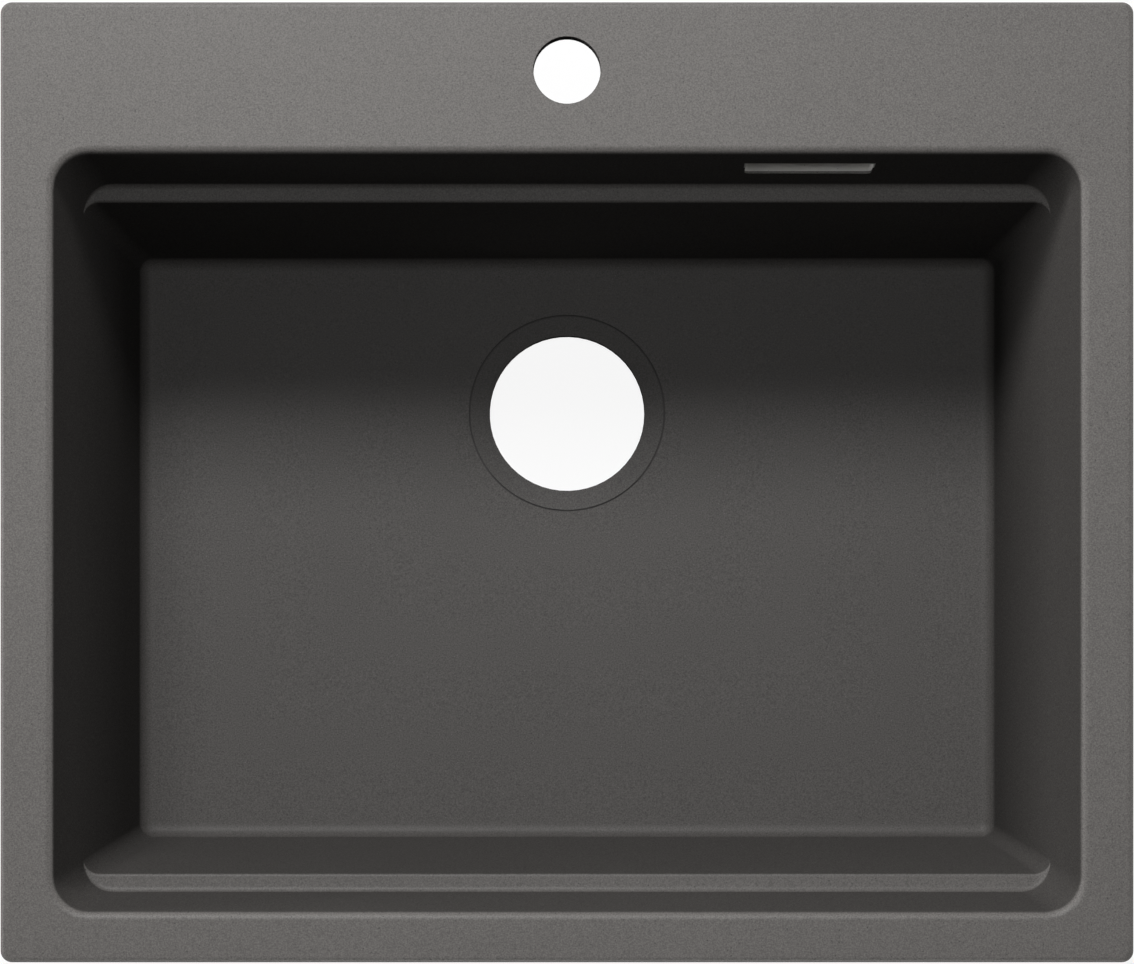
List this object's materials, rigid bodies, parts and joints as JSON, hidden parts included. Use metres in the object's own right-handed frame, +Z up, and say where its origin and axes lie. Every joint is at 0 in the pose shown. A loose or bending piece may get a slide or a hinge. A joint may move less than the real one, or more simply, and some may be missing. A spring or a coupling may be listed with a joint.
{
  "type": "kitchen sink",
  "caption": "Drop-in composite kitchen sink: rectangular drafted bowl with front and rear ledges, tap hole, waste hole, overflow slot and swing-out clamps under the rim.",
  "frame": {"origin": "middle of the deck's outline, at the height of the bowl's underside, on which the sink stands", "axes": "+Z up, +X to the right and +Y to the rear, where the tap hole is, for someone standing at the sink"},
  "size_m": [0.59, 0.5, 0.211],
  "materials": {
    "composite": "matte",
    "seal": "matte",
    "anchor_plastic": "matte",
    "screw_steel": "satin",
    "clamp_steel": "satin"
  },
  "bodies": {
    "sink": {"sink_body": "composite", "rim_seal": "seal", "anchor_left_rear": "anchor_plastic", "anchor_left_front": "anchor_plastic", "anchor_front_left": "anchor_plastic", "anchor_front_right": "anchor_plastic", "anchor_right_front": "anchor_plastic", "anchor_right_rear": "anchor_plastic", "anchor_rear_right": "anchor_plastic", "anchor_rear_left": "anchor_plastic"},
    "carriage_left_rear": {"washer_left_rear": "screw_steel"},
    "screw_left_rear": {"screw_left_rear": "screw_steel"},
    "bracket_left_rear": {"bracket_left_rear": "clamp_steel"},
    "carriage_left_front": {"washer_left_front": "screw_steel"},
    "screw_left_front": {"screw_left_front": "screw_steel"},
    "bracket_left_front": {"bracket_left_front": "clamp_steel"},
    "carriage_front_left": {"washer_front_left": "screw_steel"},
    "screw_front_left": {"screw_front_left": "screw_steel"},
    "bracket_front_left": {"bracket_front_left": "clamp_steel"},
    "carriage_front_right": {"washer_front_right": "screw_steel"},
    "screw_front_right": {"screw_front_right": "screw_steel"},
    "bracket_front_right": {"bracket_front_right": "clamp_steel"},
    "carriage_right_front": {"washer_right_front": "screw_steel"},
    "screw_right_front": {"screw_right_front": "screw_steel"},
    "bracket_right_front": {"bracket_right_front": "clamp_steel"},
    "carriage_right_rear": {"washer_right_rear": "screw_steel"},
    "screw_right_rear": {"screw_right_rear": "screw_steel"},
    "bracket_right_rear": {"bracket_right_rear": "clamp_steel"},
    "carriage_rear_right": {"washer_rear_right": "screw_steel"},
    "screw_rear_right": {"screw_rear_right": "screw_steel"},
    "bracket_rear_right": {"bracket_rear_right": "clamp_steel"},
    "carriage_rear_left": {"washer_rear_left": "screw_steel"},
    "screw_rear_left": {"screw_rear_left": "screw_steel"},
    "bracket_rear_left": {"bracket_rear_left": "clamp_steel"}
  },
  "joints": [
    {"name": "travel_left_rear", "type": "slide", "parent": "sink", "child": "carriage_left_rear", "axis": [0, 0, -1], "range_m": [0, 0.016]},
    {"name": "turn_left_rear", "type": "hinge", "parent": "carriage_left_rear", "child": "screw_left_rear", "pos_m": [-0.27801, 0.09365, 0.16], "axis": [0, 0, -1], "range_deg": [0, 3601]},
    {"name": "swing_left_rear", "type": "hinge", "parent": "carriage_left_rear", "child": "bracket_left_rear", "pos_m": [-0.27801, 0.09365, 0.168], "axis": [0, 0, -1], "range_deg": [0, 87]},
    {"name": "travel_left_front", "type": "slide", "parent": "sink", "child": "carriage_left_front", "axis": [0, 0, -1], "range_m": [0, 0.016]},
    {"name": "turn_left_front", "type": "hinge", "parent": "carriage_left_front", "child": "screw_left_front", "pos_m": [-0.27801, -0.14635, 0.16], "axis": [0, 0, -1], "range_deg": [0, 3601]},
    {"name": "swing_left_front", "type": "hinge", "parent": "carriage_left_front", "child": "bracket_left_front", "pos_m": [-0.27801, -0.14635, 0.168], "axis": [0, 0, 1], "range_deg": [0, 87]},
    {"name": "travel_front_left", "type": "slide", "parent": "sink", "child": "carriage_front_left", "axis": [0, 0, -1], "range_m": [0, 0.016]},
    {"name": "turn_front_left", "type": "hinge", "parent": "carriage_front_left", "child": "screw_front_left", "pos_m": [-0.17, -0.23411, 0.16], "axis": [0, 0, -1], "range_deg": [0, 3601]},
    {"name": "swing_front_left", "type": "hinge", "parent": "carriage_front_left", "child": "bracket_front_left", "pos_m": [-0.17, -0.23411, 0.168], "axis": [0, 0, -1], "range_deg": [0, 87]},
    {"name": "travel_front_right", "type": "slide", "parent": "sink", "child": "carriage_front_right", "axis": [0, 0, -1], "range_m": [0, 0.016]},
    {"name": "turn_front_right", "type": "hinge", "parent": "carriage_front_right", "child": "screw_front_right", "pos_m": [0.17, -0.23411, 0.16], "axis": [0, 0, -1], "range_deg": [0, 3601]},
    {"name": "swing_front_right", "type": "hinge", "parent": "carriage_front_right", "child": "bracket_front_right", "pos_m": [0.17, -0.23411, 0.168], "axis": [0, 0, 1], "range_deg": [0, 87]},
    {"name": "travel_right_front", "type": "slide", "parent": "sink", "child": "carriage_right_front", "axis": [0, 0, -1], "range_m": [0, 0.016]},
    {"name": "turn_right_front", "type": "hinge", "parent": "carriage_right_front", "child": "screw_right_front", "pos_m": [0.27801, -0.14635, 0.16], "axis": [0, 0, -1], "range_deg": [0, 3601]},
    {"name": "swing_right_front", "type": "hinge", "parent": "carriage_right_front", "child": "bracket_right_front", "pos_m": [0.27801, -0.14635, 0.168], "axis": [0, 0, -1], "range_deg": [0, 87]},
    {"name": "travel_right_rear", "type": "slide", "parent": "sink", "child": "carriage_right_rear", "axis": [0, 0, -1], "range_m": [0, 0.016]},
    {"name": "turn_right_rear", "type": "hinge", "parent": "carriage_right_rear", "child": "screw_right_rear", "pos_m": [0.27801, 0.09365, 0.16], "axis": [0, 0, -1], "range_deg": [0, 3601]},
    {"name": "swing_right_rear", "type": "hinge", "parent": "carriage_right_rear", "child": "bracket_right_rear", "pos_m": [0.27801, 0.09365, 0.168], "axis": [0, 0, 1], "range_deg": [0, 87]},
    {"name": "travel_rear_right", "type": "slide", "parent": "sink", "child": "carriage_rear_right", "axis": [0, 0, -1], "range_m": [0, 0.016]},
    {"name": "turn_rear_right", "type": "hinge", "parent": "carriage_rear_right", "child": "screw_rear_right", "pos_m": [0.17, 0.233, 0.16], "axis": [0, 0, -1], "range_deg": [0, 3601]},
    {"name": "swing_rear_right", "type": "hinge", "parent": "carriage_rear_right", "child": "bracket_rear_right", "pos_m": [0.17, 0.233, 0.168], "axis": [0, 0, -1], "range_deg": [0, 87]},
    {"name": "travel_rear_left", "type": "slide", "parent": "sink", "child": "carriage_rear_left", "axis": [0, 0, -1], "range_m": [0, 0.016]},
    {"name": "turn_rear_left", "type": "hinge", "parent": "carriage_rear_left", "child": "screw_rear_left", "pos_m": [-0.17, 0.233, 0.16], "axis": [0, 0, -1], "range_deg": [0, 3601]},
    {"name": "swing_rear_left", "type": "hinge", "parent": "carriage_rear_left", "child": "bracket_rear_left", "pos_m": [-0.17, 0.233, 0.168], "axis": [0, 0, 1], "range_deg": [0, 87]}
  ],
  "couplings": [
    {"joint": "turn_left_rear", "follows": "travel_left_rear", "rad_per_m": 3927},
    {"joint": "turn_left_front", "follows": "travel_left_front", "rad_per_m": 3927},
    {"joint": "turn_front_left", "follows": "travel_front_left", "rad_per_m": 3927},
    {"joint": "turn_front_right", "follows": "travel_front_right", "rad_per_m": 3927},
    {"joint": "turn_right_front", "follows": "travel_right_front", "rad_per_m": 3927},
    {"joint": "turn_right_rear", "follows": "travel_right_rear", "rad_per_m": 3927},
    {"joint": "turn_rear_right", "follows": "travel_rear_right", "rad_per_m": 3927},
    {"joint": "turn_rear_left", "follows": "travel_rear_left", "rad_per_m": 3927}
  ]
}
